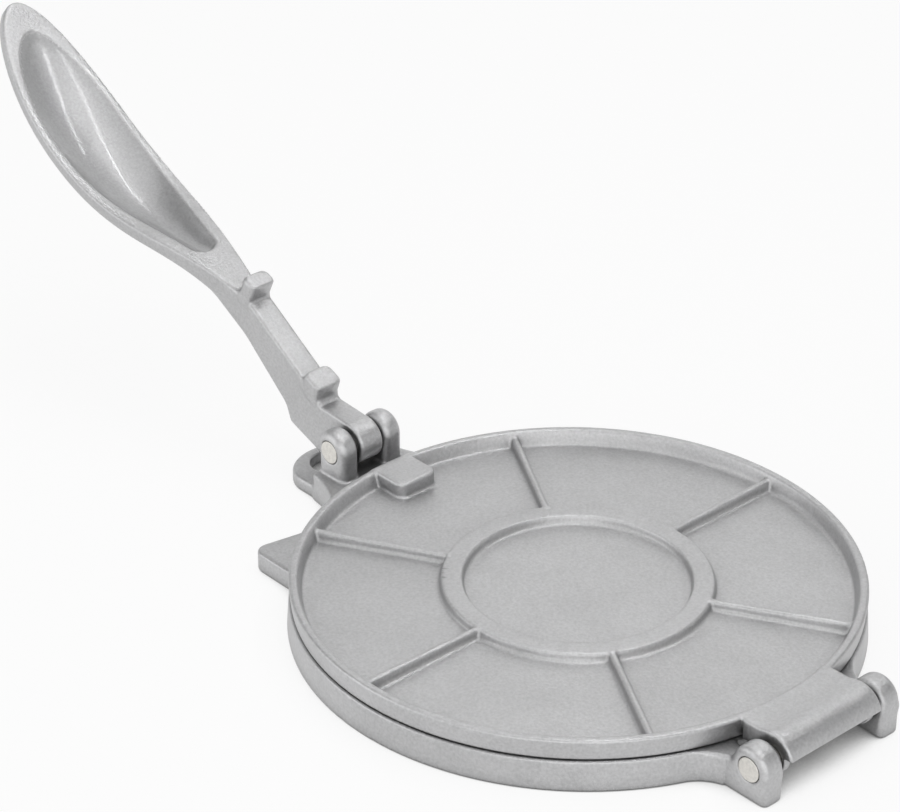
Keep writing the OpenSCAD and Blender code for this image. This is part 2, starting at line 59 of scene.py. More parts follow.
PLATEN_R = 102.0
DRAFT = 0.8
BASE_H = 11.3
LID_Z = 11.6
LID_TOP = 19.5
RELIEF_Z = 14.1
RIM_W = 3.1
RIM_LEAN = 1.8
RING_R = 48.2
RING_W = 7.4
RING_TOP = 17.1
RING_LEAN = 0.8
RIB_COUNT = 6
RIB_CREST = 1.1
RIB_FOOT = 1.7
RIB_RISE = 0.8
LUG_START = 84.0
LUG_HALF = 9.0
LUG_R = 3.5
LUG_TOP = 20.0
HINGE_X = -113.2
HINGE_Z = 11.3
PIN_R = 4.5
EAR_R = 8.0
EAR_Y = (24.0, 33.0)
EAR_FILLET = 9.0
HOOD_R = 9.4
HOOD_INNER_R = 6.4
HOOD_LIP_Z = 13.2
HOOD_HALF = 22.2
BOSS_Y = 19.2
BOSS_R = 6.0
TAB_H = 7.5
TAB_Y = 64.7
TAB_X = 104.0
TAB_START_Y = 28.0
TAB_BEND = (99.6, 40.0)
TAB_INSIDE_X = 70.0
NECK_END = 125.2
NECK_HALF = 18.0
NECK_FILLET = 38.0
TONGUE_T = 5.1
TONGUE_HALF = 17.5
TONGUE_STRAIGHT = 132.6
TONGUE_ROUND = 15.0
HOLE_X = 134.6
HOLE_R = 8.5
PIVOT_X = 118.4
PIVOT_Z = 21.8
CLEVIS_Y = (6.2, 15.1)
CLEVIS_R = 8.1
SKIRT_W = 6.0
HOLLOW = 5.4
PAD_R = 14.0
UNDER_RIB = 4.0
UNDER_LIFT = 0.6

ARM_HALF = 5.3
HUB_R = 8.0
CROWN = (16.4, 9.0)
ARM_SLOPE = 32.7
ARM_TOP_S = 34.0
ARM_TOP_DROP = 0.2
WAIST = (63.5, -14.8)
KEEL = (102.0, -17.0)
KEEL_STEP = (85.2, -7.0)
BLOCK_SLOPE = 22.7
BLOCK_R = 3.4
BLOCK_AHEAD = 0.4
BLOCK_BACK = 1.1
BLOCK_FOOT = 4.0
LUG_BLOCK = {"s": 22.3, "n": 5.4, "run": 10.0, "w": 12.4, "lean": 3.0}
RING_BLOCK = {"s": 69.4, "n": 8.2, "run": 7.8, "w": 11.6, "lean": 1.0}
HEEL = (35.0, -5.2)
HEEL_BACK = (37.6, 1.6)
HEEL_FACE_X = 7.2
HEEL_SLOPE = 20.0
TOE_Z = -9.9
PIN_CLEAR = 0.05
GRIP_START = (74.6, -2.3)
GRIP_REACH = 165.6
GRIP_SLOPE = 26.5
GRIP_START_SLOPE = 24.6
GRIP_TIP_SLOPE = 46.5
GRIP_START_PULL = 0.32
GRIP_TIP_PULL = 0.624
GRIP_HALF = 20.5
GRIP_WIDEST = 0.7
GRIP_WALL = 5.0
GRIP_ROOT_WALL = 4.5
GRIP_ROOT_END = 0.35
GRIP_BELLY = 3.6
SCOOP_BORDER = 3.3
SCOOP_DEPTH = 5.4
SCOOP_FALL = 1.8
SCOOP_EASE = 0.035
SCOOP_SHIFT = 0.045
SCOOP_START_HALF = 6.0
SCOOP = (0.18, 0.952)


# Distance fields ------------------------------------------------------------------------------

def join(a, b, r):
    """Both shapes together, with a fillet of radius r in the corner between them."""
    outer = np.maximum(r, np.minimum(a, b))
    return outer - np.hypot(np.maximum(r - a, 0), np.maximum(r - b, 0))


def meet(a, b, r):
    """What two shapes share, with the edge between them rounded to radius r."""
    inner = np.minimum(-r, np.maximum(a, b))
    return inner + np.hypot(np.maximum(r + a, 0), np.maximum(r + b, 0))


def between(v, low, high):
    """Distance to the slab from low to high."""
    return np.abs(v - (low + high) / 2) - (high - low) / 2


def slab(plan, z, height, edge):
    """A plan raised from the floor to a height, with its foot left nearly sharp."""
    return meet(meet(plan, z - height, edge), -z, 0.4)


def outline(points, u, v):
    """Distance to a closed outline of (u, v) points."""
    nearest, inside = None, False
    for (x0, y0), (x1, y1) in zip(points, points[1:] + points[:1], strict=True):
        ex, ey = x1 - x0, y1 - y0
        t = np.clip(((u - x0) * ex + (v - y0) * ey) / (ex * ex + ey * ey), 0, 1)
        square = (u - x0 - ex * t) ** 2 + (v - y0 - ey * t) ** 2
        nearest = square if nearest is None else np.minimum(nearest, square)
        if ey:
            crossed = (y0 <= v) != (y1 <= v)
            inside = inside ^ (crossed & (u < x0 + (v - y0) * ex / ey))
    return np.where(inside, -1, 1) * np.sqrt(nearest)


def rounded(corners, steps=8):
    """Points of a closed outline from corners of (x, y, radius)."""
    points = []
    for i, (x, y, r) in enumerate(corners):
        p = Vector((x, y))
        if not r:
            points.append((x, y))
            continue
        a = (Vector(corners[i - 1][:2]) - p).normalized()
        b = (Vector(corners[(i + 1) % len(corners)][:2]) - p).normalized()
        half = a.angle(b) / 2
        centre = p + (a + b).normalized() * r / math.sin(half)
        start = p + a * r / math.tan(half) - centre
        end = p + b * r / math.tan(half) - centre
        sweep = math.atan2(start.x * end.y - start.y * end.x, start.dot(end))
        for k in range(steps + 1):
            t = sweep * k / steps
            c, s = math.cos(t), math.sin(t)
            across, up = start.x * c - start.y * s, start.x * s + start.y * c
            points.append((centre.x + across, centre.y + up))
    return points


def turned(points, x, y, z, step=0.1):
    """Distance to a profile of (radius, height) points turned about the Z axis."""
    radius = np.hypot(x, y)[:, :, 0]
    radii = np.arange(0, radius.max() + step, step)
    heights = z.ravel()
    table = outline(points, radii[:, None], heights[None, :])
    levels = [np.interp(radius, radii, table[:, k]) for k in range(len(heights))]
    return np.stack(levels, axis=2).astype(np.float32)


class Field:
    """A distance field on a regular grid, in millimetres. Below zero is metal.

    A shape is a function of x, y and z. One that ignores an axis adds 0 times it, and so still
    gives a value for every sample of its box.
    """

    def __init__(self, low, high, voxel):
        self.voxel = voxel
        self.low = np.floor(np.array(low) / voxel).astype(int) - 3
        self.count = np.ceil(np.array(high) / voxel).astype(int) + 3 - self.low
        self.d = np.full(self.count, FAR, np.float32)

    def block(self, low, high):
        """The part of the grid that covers a box: its slices and its samples' places."""
        a = np.floor(np.array(low) / self.voxel).astype(int) - self.low
        b = np.ceil(np.array(high) / self.voxel).astype(int) - self.low + 1
        a, b = np.clip(a, 0, self.count), np.clip(b, 0, self.count)
        axes = [
            ((np.arange(i, j) + o) * self.voxel).astype(np.float32)
            for i, j, o in zip(a, b, self.low, strict=True)
        ]
        x, y, z = np.meshgrid(*axes, indexing="ij", sparse=True)
        return tuple(slice(i, j) for i, j in zip(a, b, strict=True)), x, y, z

    def whole(self):
        high = (self.low + self.count) * self.voxel
        return self.block(self.low * self.voxel, high)

    def add(self, shape, low, high, fillet):
        part, x, y, z = self.block(low, high)
        self.d[part] = join(self.d[part], shape(x, y, z), fillet)

    def cut(self, shape, low, high, edge):
        part, x, y, z = self.block(low, high)
        self.d[part] = meet(self.d[part], -shape(x, y, z), edge)

    def trim(self, shape, low, high):
        """Cut the metal back to a plane, where two flush faces have swelled."""
        part, x, y, z = self.block(low, high)
        self.d[part] = np.maximum(self.d[part], shape(x, y, z))

    def mesh(self, name, adaptivity):
        """The surface as a new smooth-shaded object, in metres."""
        grid = vdb.FloatGrid()
        grid.background = 3 * self.voxel
        grid.transform = vdb.createLinearTransform(voxelSize=self.voxel)
        clipped = np.clip(self.d, -3 * self.voxel, 3 * self.voxel)
        grid.copyFromArray(clipped, ijk=tuple(int(i) for i in self.low))
        points, triangles, quads = grid.convertToPolygons(isovalue=0, adaptivity=adaptivity)
        return solid(name, points * MM, list(triangles) + list(quads))


def solid(name, points, faces):
    """A closed mesh object whose faces point outward."""
    data = bpy.data.meshes.new(name)
    data.from_pydata(np.asarray(points, float).tolist(), [], [list(map(int, f)) for f in faces])
    data.update()
    data.validate()
    data.shade_smooth()
    piece = bpy.data.objects.new(name, data)
    bpy.context.scene.collection.objects.link(piece)
    return piece


# Base casting ---------------------------------------------------------------------------------

def rib_angle(i):
    return math.radians((i + 0.5) * 360 / RIB_COUNT)


def rib_frame(i, x, y):
    """Distances along and across rib i."""
    a = rib_angle(i)
    return x * math.cos(a) + y * math.sin(a), y * math.cos(a) - x * math.sin(a)


def neck_outline():
    """The neck from above, with the round fillets between it and the platen's edge."""
    cy = NECK_HALF + NECK_FILLET
    cx = math.sqrt((PLATEN_R + NECK_FILLET) ** 2 - cy ** 2)
    end = -math.acos((NECK_END - cx) / NECK_FILLET)
    tangent = math.atan2(-cy, -cx)
    side = []
    for k in range(17):
        a = end + (tangent - end) * k / 16
        x, y = cx + NECK_FILLET * math.cos(a), cy + NECK_FILLET * math.sin(a)
        side.append((x, y, 0 if k else 2.2))
    side.append((80, side[-1][1], 0))
    return rounded(side + [(x, -y, r) for x, y, r in reversed(side)])


def base_casting(voxel, adaptivity):
    base = Field((-122, -104, -0.5), (150, 104, 29.5), voxel)
    everywhere, x, y, z = base.whole()
    side = np.abs(y)

    wall = np.hypot(x, y) - PLATEN_R - DRAFT * (1 - z / BASE_H)
    ear_plan = meet(between(side, *EAR_Y), between(x, HINGE_X - EAR_R, -80), 2.2)
    plan = join(wall, ear_plan, np.where(side > sum(EAR_Y) / 2, EAR_FILLET, 1.5))
    across = (x + 0 * y)[:, :, 0], (y + 0 * x)[:, :, 0]
    plan = join(plan, outline(neck_outline(), *across)[:, :, None], 0.3)
    edge = np.where(wall > 1.5, 1.4, 0.7)
    base.d[everywhere] = slab(plan, z, BASE_H, edge)

    tab = rounded([
        (TAB_INSIDE_X, TAB_START_Y, 0), (PLATEN_R - 5, TAB_START_Y, 0), (*TAB_BEND, 6),
        (TAB_X, TAB_Y, 5), (TAB_INSIDE_X, TAB_Y, 0),
    ])
    base.add(
        lambda x, y, z: slab(outline(tab, x + 0 * y, np.abs(y)), z, TAB_H, 1.0),
        (60, -70, -3), (110, 70, 12), 1.0,
    )

    tongue = [(100, TONGUE_HALF), (100, -TONGUE_HALF)] + [
        (TONGUE_STRAIGHT + TONGUE_ROUND * math.cos(a), TONGUE_HALF * math.sin(a))
        for a in np.radians(np.arange(-90, 91, 5))
    ]
    base.add(
        lambda x, y, z: slab(outline(tongue, x + 0 * y, y + 0 * x), z, TONGUE_T, 1.4),
        (115, -22, -3), (152, 22, 10), 1.5,
    )

    def ear_rounds(x, y, z):
        disc = np.hypot(x - HINGE_X, z - HINGE_Z) - EAR_R
        return meet(disc, between(np.abs(y), *EAR_Y), 2.4)

    def clevis(x, y, z):
        disc = np.hypot(x - PIVOT_X, z - PIVOT_Z) - CLEVIS_R
        post = meet(between(x, PIVOT_X - CLEVIS_R, NECK_END), between(z, 5, PIVOT_Z), 0)
        profile = meet(np.minimum(disc, post), x - NECK_END, 0.5)
        return meet(profile, between(np.abs(y), *CLEVIS_Y), 3.4)

    base.add(ear_rounds, (-124, -36, -1), (-100, 36, 22), 1.5)
    base.add(clevis, (106, -20, 8), (128, 20, 32), 1.2)
    # The fillets swell faces that should be flush, so these planes trim them back.
    base.trim(lambda x, y, z: 0 * x - z + 0 * y, (-122, -104, -3), (150, 104, 2))
    base.trim(lambda x, y, z: between(np.abs(y), *EAR_Y) + 0 * x, (-124, -36, -3), (-103.5, 36, 22))
    base.trim(lambda x, y, z: HINGE_X - EAR_R - x + 0 * y, (-124, -36, -3), (-118, 36, 22))
    base.trim(lambda x, y, z: x - NECK_END + 0 * y, (122, -22, 6.5), (128, 22, 32))

    under = rounded([
        (PAD_R, -5, 0), (PLATEN_R + DRAFT - SKIRT_W, -5, 0),
        (PLATEN_R + DRAFT - SKIRT_W - 1, HOLLOW, 1.2), (PAD_R + 1, HOLLOW, 1.2),
    ])

    def hollow(x, y, z):
        ribs = between(np.hypot(x, y), RING_R - UNDER_RIB, RING_R)
        for i in range(RIB_COUNT):
            along, across = rib_frame(i, x, y)
            ribs = join(ribs, meet(np.abs(across) - UNDER_RIB / 2, -along, 0), 1.0)
        ribs = meet(ribs, UNDER_LIFT - z, 0.6)
        return meet(turned(under, x, y, z), -ribs, 0.8)

    base.cut(hollow, (-104, -104, -5), (104, 104, 8), 0.8)
    pin_hole(base, HINGE_X, HINGE_Z, 36)
    pin_hole(base, PIVOT_X, PIVOT_Z, 17)
    base.cut(
        lambda x, y, z: np.hypot(x - HOLE_X, y) - HOLE_R + 0 * z,
        (HOLE_X - 12, -12, -5), (HOLE_X + 12, 12, 9), 0.8,
    )
    return base.mesh("base_casting", adaptivity)


def pin_hole(field, hole_x, hole_z, reach):
    """A hole along Y for a pin, with rounded mouths."""
    field.cut(
        lambda x, y, z: np.hypot(x - hole_x, z - hole_z) - PIN_R + 0 * y,
        (hole_x - 8, -reach, hole_z - 8), (hole_x + 8, reach, hole_z + 8), 0.8,
    )


# Top casting ----------------------------------------------------------------------------------

def top_casting(voxel, adaptivity):
    lid = Field((-123.5, -102.5, 1.5), (102.5, 102.5, 21.0), voxel)
    everywhere, x, y, z = lid.whole()
    rim_in = PLATEN_R - RIM_W
    profile = rounded([
        (0, LID_Z, 0), (PLATEN_R - DRAFT, LID_Z, 0.6), (PLATEN_R, LID_TOP, 0.7),
        (rim_in, LID_TOP, 0.7), (rim_in - RIM_LEAN, RELIEF_Z, 1.2),
        (RING_R + RING_LEAN, RELIEF_Z, 1.2), (RING_R, RING_TOP, 0.7),
        (RING_R - RING_W, RING_TOP, 0.7), (RING_R - RING_W - RING_LEAN, RELIEF_Z, 1.2),
        (0, RELIEF_Z, 0),
    ])
    lid.d[everywhere] = turned(profile, x, y, z)

    height = RING_TOP - RELIEF_Z
    rib = rounded([
        (-RIB_FOOT, -1.5, 0), (RIB_FOOT, -1.5, 0), (RIB_FOOT, 0, 0), (RIB_CREST, height, 0.8),
        (-RIB_CREST, height, 0.8), (-RIB_FOOT, 0, 0),
    ], 4)
    start, end = RING_R - RING_W / 2, rim_in + 1
    for i in range(RIB_COUNT):
        a = rib_angle(i)
        xs = sorted((start * math.cos(a), end * math.cos(a)))
        ys = sorted((start * math.sin(a), end * math.sin(a)))

        def one_rib(x, y, z, i=i):
            along, across = rib_frame(i, x, y)
            up = z - RELIEF_Z - RIB_RISE * (along - start) / (end - start)
            return meet(outline(rib, across + 0 * z, up), between(along, start, end), 0)

        lid.add(one_rib, (xs[0] - 5, ys[0] - 5, RELIEF_Z - 2), (xs[1] + 5, ys[1] + 5, 20), 1.0)

    lug = rounded([
        (LUG_START, -LUG_HALF, LUG_R), (PLATEN_R - 1, -LUG_HALF, 0),
        (PLATEN_R - 1, LUG_HALF, 0), (LUG_START, LUG_HALF, LUG_R),
    ])
    lid.add(
        lambda x, y, z: meet(outline(lug, x + 0 * y, y + 0 * x), between(z, 13, LUG_TOP), 0.8),
        (76, -14, 12), (103, 14, 21), 1.0,
    )

    def hood(x, y, z):
        disc = np.hypot(x - HINGE_X, z - HINGE_Z) - HOOD_R
        inner = np.hypot(x - HINGE_X, z - HINGE_Z) - HOOD_INNER_R
        web = meet(between(x, HINGE_X, -PLATEN_R + 2), between(z, LID_Z, LID_TOP), 0.3)
        boss = np.hypot(x - HINGE_X, z - HINGE_Z) - BOSS_R
        below = np.where(x < HINGE_X, z - HOOD_LIP_Z, z - LID_Z)
        under = meet(below, x + PLATEN_R + 1.8, 0)
        between_bosses = meet(join(inner, under, 0.3), np.abs(y) - BOSS_Y, 0.8)
        whole = meet(join(disc, web, 1.0), np.abs(y) - HOOD_HALF, 1.0)
        return meet(whole, -np.minimum(between_bosses, meet(under, -boss, 0.5)), 0.8)

    lid.add(hood, (-124, -24, 1), (-90, 24, 21.5), 1.0)
    lid.trim(lambda x, y, z: z - LID_TOP + 0 * y, (-106, -26, 17), (-85, 26, 22))
    lid.trim(lambda x, y, z: LID_Z - z + 0 * y, (-102.5, -26, 9), (-85, 26, 14))
    inside = RING_R - 1
    lid.trim(
        lambda x, y, z: np.where(np.hypot(x, y) < inside, z - RING_TOP, -FAR),
        (-inside, -inside, 16), (inside, inside, 20),
    )
    pin_hole(lid, HINGE_X, HINGE_Z, 24)
    return lid.mesh("top_casting", adaptivity)


# Lever casting --------------------------------------------------------------------------------
# Drawn about its pivot, in its open position, and moved to the pivot when it is meshed.

def turn(p, degrees):
    a = math.radians(degrees)
    c, s = math.cos(a), math.sin(a)
    return Vector((p[0] * c - p[1] * s, p[0] * s + p[1] * c))


def on_arm(s, n):
    """The point at distance s along the arm's top and height n above it."""
    return turn((s, n), ARM_SLOPE)


def corner(p, r):
    return (p[0], p[1], r)


def swell(t, w0, w1, t0, t1, t2, flare, tip):
    """A half width that swells from w0 to w1 at t1 and closes round at t2."""
    if t < t1:
        return w0 + (w1 - w0) * math.sin(math.pi / 2 * max(0, t - t0) / (t1 - t0)) ** flare
    return w1 * math.sqrt(max(0, 1 - ((t - t1) / (t2 - t1)) ** tip))


GRIP_0 = on_arm(*GRIP_START)
GRIP_3 = GRIP_0 + turn((GRIP_REACH, 0), GRIP_SLOPE)
GRIP_1 = GRIP_0 + turn((GRIP_REACH * GRIP_START_PULL, 0), GRIP_START_SLOPE)
GRIP_2 = GRIP_3 - turn((GRIP_REACH * GRIP_TIP_PULL, 0), GRIP_TIP_SLOPE)


def grip_point(t):
    return (
        (1 - t) ** 3 * GRIP_0 + 3 * (1 - t) ** 2 * t * GRIP_1
        + 3 * (1 - t) * t * t * GRIP_2 + t ** 3 * GRIP_3
    )


def grip_heading(t):
    return ((1 - t) ** 2 * (GRIP_1 - GRIP_0) + 2 * (1 - t) * t * (GRIP_2 - GRIP_1)
            + t * t * (GRIP_3 - GRIP_2)).normalized()


def grip_half(t):
    return swell(t, ARM_HALF - 0.2, GRIP_HALF, 0, GRIP_WIDEST, 1, 1.1, 2.6)


def scoop_half(t):
    ease = min(1, max(0, t - SCOOP[0]) / SCOOP_EASE)
    widest = GRIP_WIDEST + SCOOP_SHIFT
    wide = swell(
        t, SCOOP_START_HALF, GRIP_HALF - SCOOP_BORDER, SCOOP[0], widest, SCOOP[1], 1.4, 2.3
    )
    return wide * math.sqrt(1 - (1 - ease) ** 2)


def grip_section(t, across=41, round_steps=24):
    """One cross-section of the grip, as (across, up) points round it."""
    w = grip_half(t)
    inside = SCOOP[0] < t < SCOOP[1]
    s = max(scoop_half(t) if inside else 0, 0.05 * w)
    share = (t - SCOOP[0]) / (SCOOP[1] - SCOOP[0])
    sink = SCOOP_DEPTH * math.sin(math.pi * share ** 0.9) ** 0.4 if inside else 0
    root_wall = GRIP_ROOT_WALL * max(0, 1 - t / GRIP_ROOT_END) ** 2
    wall = min(GRIP_WALL + root_wall, max(0.8, w))
    belly = GRIP_BELLY * math.sqrt(max(0.02, 1 - t ** 6))
    foot = w * 0.96
    angles = [math.pi * k / across for k in range(across + 1)]
    top = [(-s * math.cos(a), -sink * math.sin(a) ** SCOOP_FALL) for a in angles]
    below = [math.pi * k / round_steps for k in range(round_steps + 1)]
    under = [(foot * math.cos(a), -wall - belly * math.sin(a)) for a in below]
    return [(-w, 0)] + top + [(w, 0)] + under


def grip_shape(x, y, z, voxel):
    """Distance to the grip, from a fine mesh of its cross-sections."""
    stations = [0.5 - 0.5 * math.cos(math.pi * k / 260) for k in range(259)]
    rings = []
    for t in stations:
        p, d = grip_point(t), grip_heading(t)
        rings.append([(p.x - d.y * up, side, p.y + d.x * up) for side, up in grip_section(t)])
    size = len(rings[0])
    quads = []
    for start in range(0, (len(rings) - 1) * size, size):
        for k in range(size):
            after = (k + 1) % size
            quads.append((start + k, start + after, start + size + after, start + size + k))
    points = [p for ring in rings for p in ring]
    fans = []
    for first, flip in ((0, False), ((len(rings) - 1) * size, True)):
        centre = len(points)
        points.append(np.mean(points[first:first + size], axis=0))
        for k in range(size):
            edge = (first + k, first + (k + 1) % size)
            fans.append((centre, *(edge if flip else edge[::-1])))
    return level_set(np.array(points, np.float32), fans, quads, x, y, z, voxel)


def level_set(points, triangles, quads, x, y, z, voxel, soften=0.8):
    """Distance to a closed mesh whose convex edges are rounded to radius soften."""
    scale = vdb.createLinearTransform(voxelSize=voxel)
    half = (soften / voxel) + 5
    grid = vdb.FloatGrid.createLevelSetFromPolygons(
        points, np.array(triangles, np.uint32), np.array(quads, np.uint32), scale, half
    )
    p, t, q = grid.convertToPolygons(isovalue=-soften)
    grid = vdb.FloatGrid.createLevelSetFromPolygons(p, t, q, scale, half)
    out = np.empty((x.size, y.size, z.size), np.float32)
    corner_index = tuple(int(round(float(v.ravel()[0]) / voxel)) for v in (x, y, z))
    grid.copyToArray(out, ijk=corner_index)
    return out - soften


def lever_casting(voxel, adaptivity):
    lever = Field((-9, -21, -18), (214, 21, 113), voxel)
    everywhere, x, y, z = lever.whole()
    side = np.abs(y)

    heel_fall = (HEEL[0] - HEEL_FACE_X) * math.tan(math.radians(HEEL_SLOPE))
    low = (HEEL_FACE_X, HEEL[1] - heel_fall)
    ring_block_middle = RING_BLOCK["s"] + RING_BLOCK["run"] / 2
    arm = rounded([
        (0, HUB_R, 0), (*CROWN, 0.8), corner(on_arm(ARM_TOP_S, -ARM_TOP_DROP), 0.8),
        corner(on_arm(ring_block_middle, -ARM_TOP_DROP), 0), corner(on_arm(*KEEL_STEP), 0),
        corner(on_arm(*KEEL), 2), corner(on_arm(*WAIST), 30), (*HEEL_BACK, 8),
        corner(HEEL, 3), corner(low, 1),
        (HEEL_FACE_X, TOE_Z, 1), (-1, 0.4 - HUB_R, 0), (-1, 0, 0),
    ])
    section = outline(arm, x[:, 0] + 0 * z[0], z[0] + 0 * x[:, 0])[:, None, :]
    hub = np.hypot(x, z) - HUB_R
    lever.d[everywhere] = meet(join(section, hub, 0.5), side - ARM_HALF, 1.3)

    def block(s, n, run, w, lean):
        """A raised pressing block that starts s along the arm and stands n above it."""
        top = on_arm(s, n)
        end = top + turn((run, 0), BLOCK_SLOPE)
        face = rounded([
            corner(on_arm(s - lean, -BLOCK_FOOT), 0), corner(top, 1), corner(end, 1),
            corner(on_arm(s + run + BLOCK_BACK, -BLOCK_FOOT), 0),
        ])
        slope = math.radians(BLOCK_SLOPE)

        def shape(x, y, z):
            profile = outline(face, x[:, 0] + 0 * z[0], z[0] + 0 * x[:, 0])[:, None, :]
            along = (x - top.x) * math.cos(slope) + (z - top.y) * math.sin(slope)
            ahead = np.abs(along - run / 2) - run / 2 - BLOCK_AHEAD + BLOCK_R
            aside = np.abs(y) - w / 2 + BLOCK_R
            plan = np.hypot(np.maximum(ahead, 0), np.maximum(aside, 0)) - BLOCK_R
            plan = plan + np.minimum(np.maximum(ahead, aside), 0)
            return meet(profile, plan, 1.6)

        lever.add(shape, (top.x - 10, -10, top.y - 14), (end.x + 8, 10, end.y + 4), 1.6)

    block(**LUG_BLOCK)
    block(**RING_BLOCK)
    lever.add(
        lambda x, y, z: grip_shape(x, y, z, voxel),
        (52, -21.5, 18), (214, 21.5, 113), 1.5,
    )
    lever.cut(
        lambda x, y, z: np.hypot(x, z) - PIN_R - PIN_CLEAR + 0 * y, (-8, -9, -8), (8, 9, 8), 0.4,
    )
    piece = lever.mesh("lever_casting", adaptivity)
    mark_scoop(piece)
    pivot = Vector((PIVOT_X * MM, 0, PIVOT_Z * MM))
    for v in piece.data.vertices:
        v.co += pivot
    return piece


def mark_scoop(piece):
    """Give the faces of the smooth scoop the piece's second material, whose darker tint is painted
    shade.
    """
    faces = piece.data.polygons
    centres = np.empty(len(faces) * 3)
    faces.foreach_get("center", centres)
    x, y, z = centres.reshape(-1, 3).T / MM
    steps = np.linspace(SCOOP[0], SCOOP[1], 240).tolist()
    line = np.array([grip_point(t) for t in steps])
    ahead = np.array([grip_heading(t) for t in steps])
    half = np.array([scoop_half(t) for t in steps])
    near = np.argmin((x[:, None] - line[:, 0]) ** 2 + (z[:, None] - line[:, 1]) ** 2, axis=1)
    up = (z - line[near, 1]) * ahead[near, 0] - (x - line[near, 0]) * ahead[near, 1]
    along = (x - line[near, 0]) * ahead[near, 0] + (z - line[near, 1]) * ahead[near, 1]
    inside = (np.abs(y) < half[near] + 0.2) & (np.abs(along) < 1)
    inside &= (up < -0.4) & (up > -SCOOP_DEPTH - 1)
    faces.foreach_set("material_index", inside.astype(int))


# Pins -----------------------------------------------------------------------------------------

def pin(name, x, z, half, segments=96):
    """A straight pin along Y with softened, slightly crowned ends."""
    end = [(0, half), (PIN_R * 0.6, half - 0.01), (PIN_R - 0.5, half - 0.04)]
    end += [
        (PIN_R - 0.35 + 0.35 * math.sin(a), half - 0.4 + 0.35 * math.cos(a))
        for a in np.radians((0, 30, 60, 90))
    ]
    profile = end + [(r, -y) for r, y in reversed(end)]
    points, faces = [(x, profile[0][1], z)], []
    rings = profile[1:-1]
    for r, y in rings:
        for k in range(segments):
            a = 2 * math.pi * k / segments
            points.append((x + r * math.cos(a), y, z + r * math.sin(a)))
    last = len(points)
    points.append((x, profile[-1][1], z))
    for k in range(segments):
        after = (k + 1) % segments
        faces.append((0, 1 + after, 1 + k))
        for i in range(len(rings) - 1):
            a, b = 1 + i * segments, 1 + (i + 1) * segments
            faces.append((a + k, a + after, b + after, b + k))
        a = 1 + (len(rings) - 1) * segments
        faces.append((last, a + k, a + after))
    return solid(name, np.array(points) * MM, faces)


# Materials ------------------------------------------------------------------------------------

def map_range(nodes, links, source, at, to):
    """The source's range at, stretched to the range to."""
    r = nodes.new("ShaderNodeMapRange")
    r.inputs["From Min"].default_value, r.inputs["From Max"].default_value = at
    r.inputs["To Min"].default_value, r.inputs["To Max"].default_value = to
    links.new(source, r.inputs["Value"])
    return r.outputs["Result"]


def cast_aluminium(name, tint, roughness, seed, sandy=1.0, coat=0.0):
    """Metal with faint patches, a fine speckle and the grain that a sand mould leaves.

    Its hollows are darkened by painted shade from an ambient occlusion node. A scoop is rubbed
    smooth, which the coat stands for.
    """
    material = bpy.data.materials.new(name)
    material.use_nodes = True
    nodes, links = material.node_tree.nodes, material.node_tree.links
    shader = nodes["Principled BSDF"]
    shader.inputs["Metallic"].default_value = 0.85
    shader.inputs["Coat Weight"].default_value = coat
    shader.inputs["Coat Roughness"].default_value = 0.12
    shader.inputs["Coat IOR"].default_value = 1.8
    place = nodes.new("ShaderNodeTexCoord")

    def noise(scale, detail):
        n = nodes.new("ShaderNodeTexNoise")
        n.noise_dimensions = "4D"
        n.inputs["W"].default_value = seed
        n.inputs["Scale"].default_value = scale
        n.inputs["Detail"].default_value = detail
        n.inputs["Roughness"].default_value = 0.6
        links.new(place.outputs["Object"], n.inputs["Vector"])
        return n

    def ramp(source, low, high, at=(0.3, 0.7)):
        return map_range(nodes, links, source, at, (low, high))

    def multiply(colour, level):
        m = nodes.new("ShaderNodeMix")
        m.data_type = "RGBA"
        m.blend_type = "MULTIPLY"
        m.inputs["Factor"].default_value = 1
        links.new(colour, m.inputs["A"])
        links.new(level, m.inputs["B"])
        return m.outputs["Result"]

    def bump(strength, distance, height, normal=None):
        b = nodes.new("ShaderNodeBump")
        b.inputs["Strength"].default_value = strength * sandy
        b.inputs["Distance"].default_value = distance
        links.new(height, b.inputs["Height"])
        if normal:
            links.new(normal, b.inputs["Normal"])
        return b.outputs["Normal"]

    patches, grain, sand = noise(28, 3), noise(900, 3), noise(2600, 2)
    mix = nodes.new("ShaderNodeMix")
    mix.data_type = "RGBA"
    mix.inputs["A"].default_value = (*[c * 0.93 for c in tint], 1)
    mix.inputs["B"].default_value = (*[min(1, c * 1.05) for c in tint], 1)
    links.new(ramp(patches.outputs["Fac"], 0, 1), mix.inputs["Factor"])
    grey = nodes.new("ShaderNodeCombineColor")
    level = ramp(grain.outputs["Fac"], 0.86, 1.1)
    for channel in ("Red", "Green", "Blue"):
        links.new(level, grey.inputs[channel])
    # Painted shade: ambient occlusion darkens the base colour in hollows, creases and gaps between
    # parts.
    hollow = nodes.new("ShaderNodeAmbientOcclusion")
    hollow.samples = 6
    hollow.inputs["Distance"].default_value = 0.008
    painted_cavity_shade = ramp(hollow.outputs["AO"], 0.4, 1.0, (0.15, 0.85))
    colour = multiply(multiply(mix.outputs["Result"], grey.outputs["Color"]), painted_cavity_shade)
    links.new(colour, shader.inputs["Base Color"])
    rough = ramp(grain.outputs["Fac"], roughness - 0.06, roughness + 0.06)
    links.new(rough, shader.inputs["Roughness"])
    fine = bump(0.25, 0.00012, sand.outputs["Fac"])
    links.new(bump(0.45, 0.0003, grain.outputs["Fac"], fine), shader.inputs["Normal"])
    return material


# Stage ----------------------------------------------------------------------------------------

def seen_rays(nodes, links):
    """One for a ray from the camera, from a glossy surface or through glass, and else zero."""
    path = nodes.new("ShaderNodeLightPath")
    total = path.outputs["Is Camera Ray"]
    for name in ("Is Glossy Ray", "Is Transmission Ray"):
        most = nodes.new("ShaderNodeMath")
        most.operation = "MAXIMUM"
        links.new(total, most.inputs[0])
        links.new(path.outputs[name], most.inputs[1])
        total = most.outputs[0]
    return total


